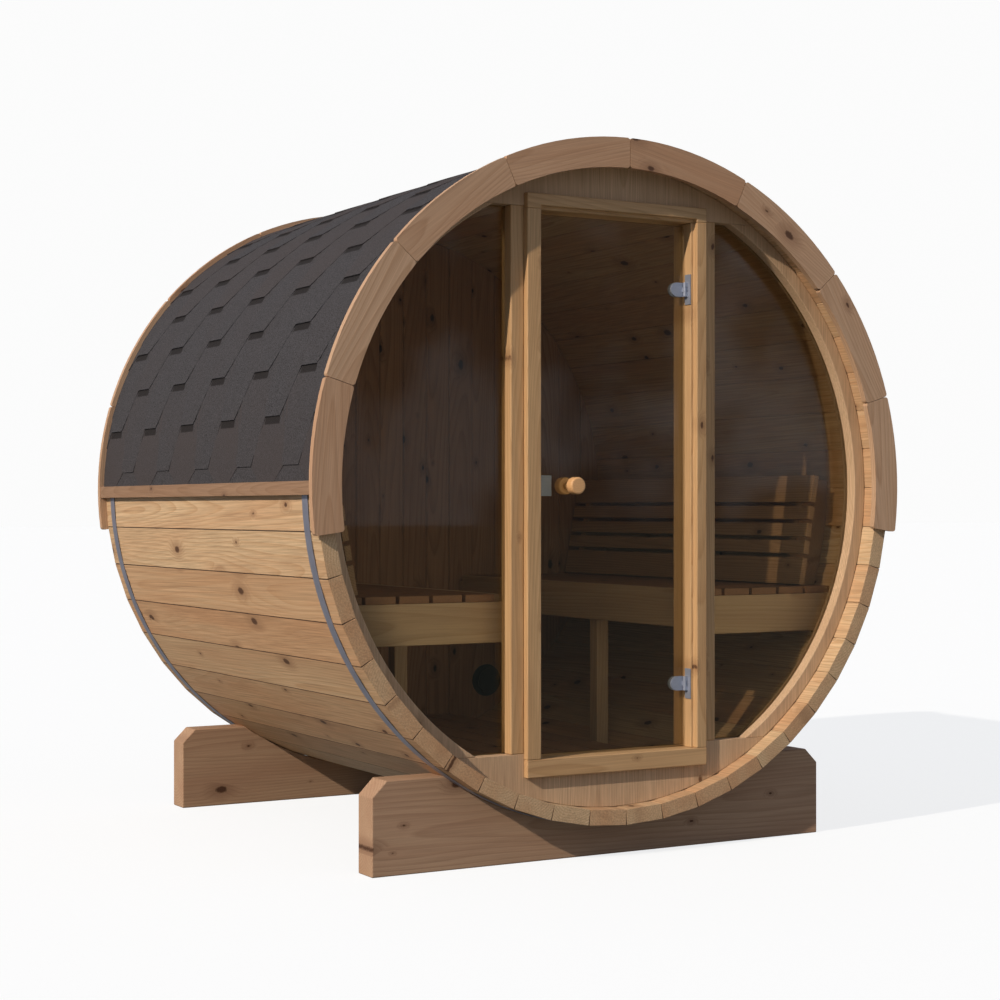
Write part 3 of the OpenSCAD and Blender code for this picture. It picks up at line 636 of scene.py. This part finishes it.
# one course of hexagonal tabs; course -1 is the straight starter strip under the first tabs
def makeCourse(side, course, ends, arc, deck, eaveAngle):
    pitch, flat, exposure = shingle["pitch"], shingle["flat"], shingle["exposure"]
    bottom = 0 if course < 0 else shingle["first"] + (course - 1) * exposure
    centre = shingle["phase"] + (0 if course % 2 else pitch / 2)
    slant = pitch / 2 - flat
    columns = set(ends)
    if course >= 0:
        for n in range(-shingle["tabs"], shingle["tabs"] + 1):
            for step in (-flat / 2, flat / 2, flat / 2 + slant, pitch - flat / 2 - slant):
                y = centre + n * pitch + step
                if ends[0] + shingle["leastWide"] < y < ends[1] - shingle["leastWide"]:
                    columns.add(y)
    columns = sorted(columns)

    def lowEdge(y):
        if course < 0:
            return 0
        away = abs((y - centre + pitch / 2) % pitch - pitch / 2)
        return bottom + exposure * min(max((away - flat / 2) / slant, 0), 1)

    top = min(bottom + 2 * exposure + shingle["lap"], arc)
    sunk = 1 if course < 0 else 0
    rows = shingle["rows"] + 1
    bpy.ops.object.select_all(action="DESELECT")
    bpy.ops.mesh.primitive_grid_add(x_subdivisions=rows - 1, y_subdivisions=len(columns) - 1, size=1)
    piece = bpy.context.object
    corners = piece.data.vertices
    order = sorted(range(len(corners)), key=lambda k: (round(corners[k].co.y, 4), corners[k].co.x))
    places = [None] * len(order)
    for rank, k in enumerate(order):
        y = columns[rank // rows]
        low = max(lowEdge(y), 0)
        high = max(top, low + shingle["leastLong"])
        s = low + (high - low) * (rank % rows) / (rows - 1)
        lift = shingle["rise"] - shingle["thick"] * ((s - bottom) / exposure + sunk)
        corners[k].co = (s, y, max(lift, shingle["leastRise"]))
        places[k] = (s - bottom, y - centre, 0)
    setAttribute(piece, "strip", "FLOAT_VECTOR", [value for spot in places for value in spot])
    dice = random.Random(course * 7 + (3 if side > 0 else 0))
    setAttribute(piece, "tone", "FLOAT", [dice.uniform(-0.35, 0.35)] * len(order))
    wrapOnBarrel(piece, side, eaveAngle, deck)
    pick(piece)
    bpy.ops.object.mode_set(mode="EDIT")
    bpy.ops.mesh.select_all(action="SELECT")
    bpy.ops.mesh.normals_make_consistent(inside=False)
    bpy.ops.object.mode_set(mode="OBJECT")
    middle = piece.data.polygons[len(piece.data.polygons) // 2]
    if middle.normal.dot(Vector((middle.center.x, 0, middle.center.z - axisHeight))) < 0:
        piece.data.flip_normals()
    applyModifier(piece, "SOLIDIFY", thickness=shingle["thick"], offset=-1)
    return piece


roof = {"play": 0.0004, "endPlay": 0.0005, "sharp": 20, "battenEdge": 0.002, "battenSeed": 41,
        "battenTone": 0.1}
for side, word in ((-1, "left"), (1, "right")):
    roofLow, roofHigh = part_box("roof_" + word)
    deck = stave["radius"] + roof["play"]
    eaveAngle = math.acos((roofLow.z - axisHeight) / deck)
    arc = deck * eaveAngle
    ends = roofLow.y + roof["endPlay"], roofHigh.y - roof["endPlay"]
    count = math.ceil((arc - shingle["first"]) / shingle["exposure"]) + 1
    piece = joinPieces([makeCourse(side, k, ends, arc, deck, eaveAngle) for k in range(-1, count)])
    bpy.ops.object.shade_smooth_by_angle(angle=math.radians(roof["sharp"]))
    settle(piece, "roof" + word.title(), "roof_" + word, mineralShingle)
    batten = copyNode("eave_batten_" + word, roof["battenEdge"])
    layGrain(batten, (0, 1, 0), (side, 0, 0), roof["battenSeed"] + side, roof["battenTone"])
    settle(batten, "eaveBatten" + word.title(), "eave_batten_" + word, wood["weatheredBatten"])
print("roof done")

# front wall, posts and door frame: name, rounding, finish, way of the grain, seed
upright, level = (0, 0, 1), (1, 0, 0)
wallTone = 0.05
wallPieces = {
    "front_wall_head": ("frontWallHead", 0.0015, "brushedPanel", upright, 51),
    "front_wall_base": ("frontWallBase", 0.0015, "brushedPanel", upright, 52),
    "front_wall_left": ("frontWallLeft", 0.003, "brushedPanel", upright, 53),
    "front_wall_right": ("frontWallRight", 0.003, "brushedPanel", upright, 54),
    "front_post_left": ("frontPostLeft", 0.004, "planedFrame", upright, 55),
    "front_post_right": ("frontPostRight", 0.004, "planedFrame", upright, 56),
    "door_jamb_latch": ("doorJambLatch", 0.003, "planedFrame", upright, 57),
    "door_jamb_hinge": ("doorJambHinge", 0.003, "planedFrame", upright, 58),
    "door_head": ("doorHead", 0.003, "planedFrame", level, 59),
    "door_sill": ("doorSill", 0.003, "planedFrame", level, 60),
}
for node, (name, edge, finish, along, seed) in wallPieces.items():
    piece = copyNode(node, edge, 3)
    layGrain(piece, along, (0, -1, 0), seed, wallTone)
    settle(piece, name, node, wood[finish])
for node in ("window_left", "window_right", "door_glass"):
    nodes[node].data.materials.clear()
    nodes[node].data.materials.append(smokeGlass)
print("front wall done")

# knob, hinges, catch and vent
knob = {"sharp": 40, "seed": 61, "tone": 0}
turnedKnob = copyNode("door_knob", sharp=knob["sharp"])
layGrain(turnedKnob, (0, 1, 0), (0, 0, 1), knob["seed"], knob["tone"])
settle(turnedKnob, "doorKnob", "door_knob", wood["turnedBirch"])
fittingSharp = 40
fittings = {
    "door_hinge_clamps": ("doorHingeClamps", 0.0012),
    "door_hinge_plates": ("doorHingePlates", 0.0008),
    "door_catch": ("doorCatch", 0.0008),
}
for node, (name, edge) in fittings.items():
    settle(copyNode(node, edge, sharp=fittingSharp), name, node, hard["satinZinc"])
rearVent = {"edge": 0.0008, "discRadius": 0.047, "discThick": 0.001, "discInset": 0.006, "sides": 32}
ventLow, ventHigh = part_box("rear_vent")
ventMiddle = (ventLow + ventHigh) / 2
wallLow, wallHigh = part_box("rear_wall")
vent = copyNode("rear_vent", rearVent["edge"], sharp=fittingSharp)
bpy.ops.object.select_all(action="DESELECT")
bpy.ops.mesh.primitive_cylinder_add(
    vertices=rearVent["sides"], radius=rearVent["discRadius"], depth=rearVent["discThick"],
    location=(ventMiddle.x, wallHigh.y - rearVent["discInset"], ventMiddle.z),
    rotation=(math.radians(90), 0, 0))
closingDisc = bpy.context.object                 # a dark solid disc near the wall's outer face, which closes the outlet
bpy.ops.object.transform_apply(location=True, rotation=True, scale=True)
settle(joinPieces([vent, closingDisc]), "rearVent", "rear_vent", hard["mouldedVent"])
print("door hardware and vent done")

# rear wall: tongued and grooved upright boards, cut from the round wall
rearWall = {"pitch": 0.095, "gap": 0.0006, "edge": 0.004, "seed": 71}
wholeWall = copyNode("rear_wall")
boards = []
number = math.ceil((wallHigh.x - wallLow.x) / rearWall["pitch"])
for i in range(number):
    left = (i - number / 2) * rearWall["pitch"] + rearWall["gap"] / 2
    right = left + rearWall["pitch"] - rearWall["gap"]
    board = copyPiece(wholeWall)
    for x, way in ((left, -1), (right, 1)):
        pick(board)
        bpy.ops.object.mode_set(mode="EDIT")
        bpy.ops.mesh.select_all(action="SELECT")
        bpy.ops.mesh.bisect(plane_co=(x, 0, 0), plane_no=(way, 0, 0), use_fill=True, clear_outer=True)
        bpy.ops.object.mode_set(mode="OBJECT")
    if not board.data.polygons:
        bpy.data.objects.remove(board)
        continue
    roundEdges(board, rearWall["edge"], 1)
    layGrain(board, (0, 0, 1), (0, -1, 0), rearWall["seed"] * 10 + i)
    boards.append(board)
bpy.data.objects.remove(wholeWall)
settle(joinPieces(boards), "rearWall", "rear_wall", wood["heatTreatedLining"])
print("rear wall done")

# benches, backrests and floor; each bench part has the way of its grain, its wide face, finish and tone
bench = {"edge": 0.003, "seed": 81}
backrest = {"edge": 0.006, "seed": 91, "lean": 0.18, "tone": -0.2}
for side, word in ((-1, "left"), (1, "right")):
    benchParts = {
        "seat": ((0, 1, 0), (0, 0, 1), "heatTreatedLining", 0.9),
        "frame": ((1, 0, 0), (0, -1, 0), "aspenBench", 0.1),
        "apron": ((0, 1, 0), (side, 0, 0), "aspenBench", 0.1),
        "leg": ((0, 0, 1), (side, 0, 0), "aspenBench", 0.1),
    }
    for part, (along, face, finish, tone) in benchParts.items():
        node = f"bench_{word}_{part}"
        boards = looseParts(copyNode(node, bench["edge"], 2))
        for i, board in enumerate(boards):
            layGrain(board, along, face, bench["seed"] * 10 + i + side * 7 + len(part), tone)
        settle(joinPieces(boards), f"bench{word.title()}{part.title()}", node, wood[finish])
    leaning = copyNode("backrest_" + word, backrest["edge"])
    layGrain(leaning, (0, 1, 0), (side, 0, backrest["lean"]), backrest["seed"] + side, backrest["tone"])
    settle(leaning, "backrest" + word.title(), "backrest_" + word, wood["slatAlder"])
duckboard = {"edge": 0.002, "seed": 95, "tone": 0.2}
slats = copyNode("floor_duckboard", duckboard["edge"])
layGrain(slats, (0, 1, 0), (0, 0, 1), duckboard["seed"], duckboard["tone"])
settle(slats, "floorDuckboard", "floor_duckboard", wood["heatTreatedLining"])
print("benches and floor done")
